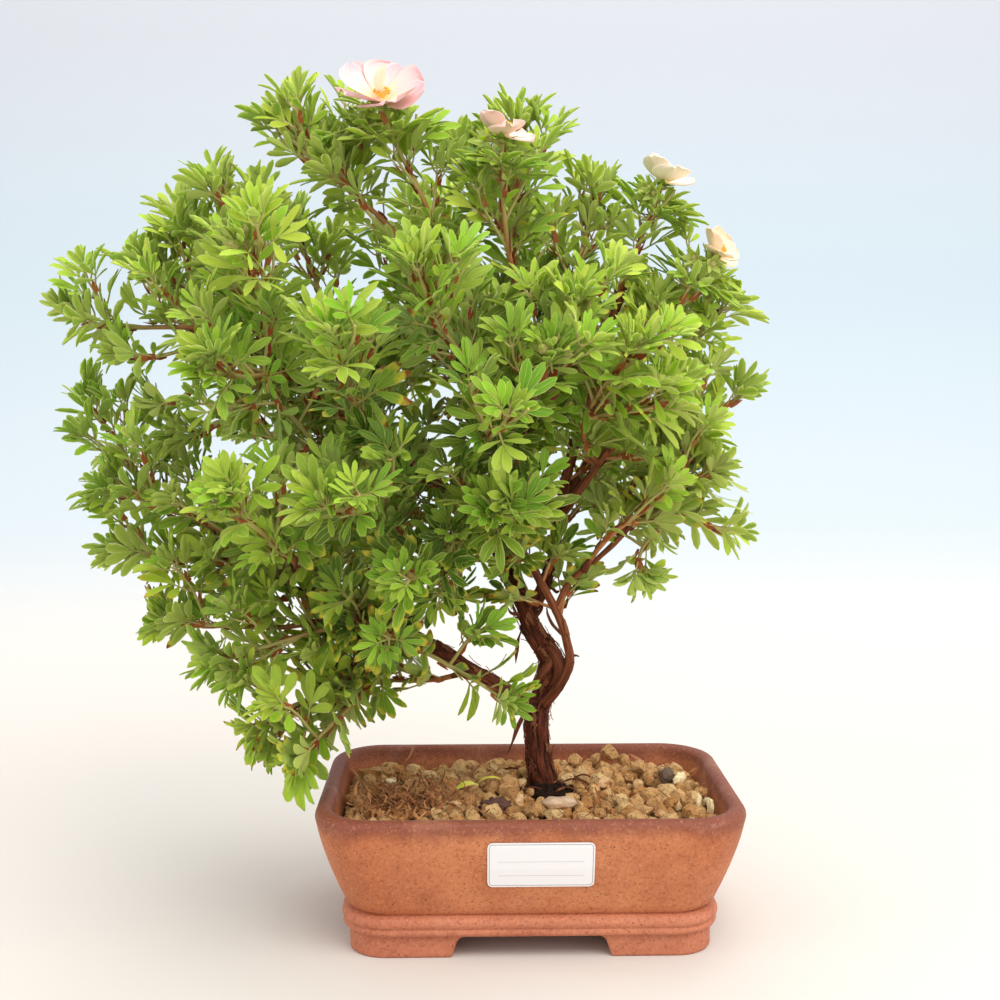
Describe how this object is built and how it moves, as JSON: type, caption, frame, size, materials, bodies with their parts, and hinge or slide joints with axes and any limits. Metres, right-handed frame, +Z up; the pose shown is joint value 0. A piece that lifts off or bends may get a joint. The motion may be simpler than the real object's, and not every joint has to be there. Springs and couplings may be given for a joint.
{
  "type": "shrubby cinquefoil bonsai",
  "caption": "Flowering shrubby cinquefoil bonsai in its oblong stoneware pot: slender forked trunk, low side branch, open fan of fingered leaves and pale blooms.",
  "frame": {"origin": "on the ground under the middle of the whole outline seen from above", "axes": "+Z up, -Y towards the front as pictured, with the label on the front wall; +X to the viewer's right along the pot's long side"},
  "size_m": [0.293, 0.2108, 0.3513],
  "materials": {
    "pot": "unglazed, faint sheen",
    "label": "smooth",
    "screen": "matte",
    "soil": "dull, granular",
    "pebble": "water-worn, satin",
    "bark": "rough",
    "wood": "shaggy peeling bark",
    "leaf": "satin, thin blades",
    "bright_leaf": "satin, thin blades",
    "petal": "matte, thin blades",
    "stamens": "matte"
  },
  "bodies": {
    "root": {"pot": "pot", "label": "label", "screen_left": "screen", "screen_right": "screen", "soil": "soil", "pale_nodule": "pebble", "bark_chip": "bark", "wood": "wood", "bloom_1_petals": "petal", "bloom_1_stamens": "stamens", "bloom_2_petals": "petal", "bloom_2_stamens": "stamens", "bloom_3_petals": "petal", "bloom_3_stamens": "stamens", "bloom_4_petals": "petal", "bloom_4_stamens": "stamens", "shoot_01": "leaf", "shoot_02": "leaf", "shoot_03": "leaf", "shoot_04": "leaf", "shoot_05": "leaf", "shoot_06": "leaf", "shoot_07": "leaf", "shoot_08": "leaf", "shoot_09": "leaf", "shoot_10": "leaf", "shoot_11": "leaf", "shoot_12": "leaf", "shoot_13": "leaf", "shoot_14": "leaf", "shoot_15": "leaf", "shoot_16": "leaf", "shoot_17": "leaf", "shoot_18": "leaf", "shoot_19": "bright_leaf", "shoot_20": "bright_leaf", "shoot_21": "bright_leaf", "shoot_22": "bright_leaf", "shoot_23": "bright_leaf", "shoot_24": "bright_leaf", "shoot_25": "bright_leaf", "shoot_26": "bright_leaf", "shoot_27": "bright_leaf", "shoot_28": "bright_leaf", "shoot_29": "bright_leaf", "shoot_30": "bright_leaf", "shoot_31": "bright_leaf", "shoot_32": "bright_leaf", "shoot_33": "leaf", "shoot_34": "bright_leaf", "shoot_35": "leaf", "shoot_36": "leaf", "shoot_37": "leaf", "shoot_38": "leaf", "shoot_39": "leaf", "shoot_40": "leaf", "shoot_41": "leaf", "shoot_42": "leaf", "shoot_43": "leaf", "shoot_44": "leaf"}
  },
  "joints": []
}
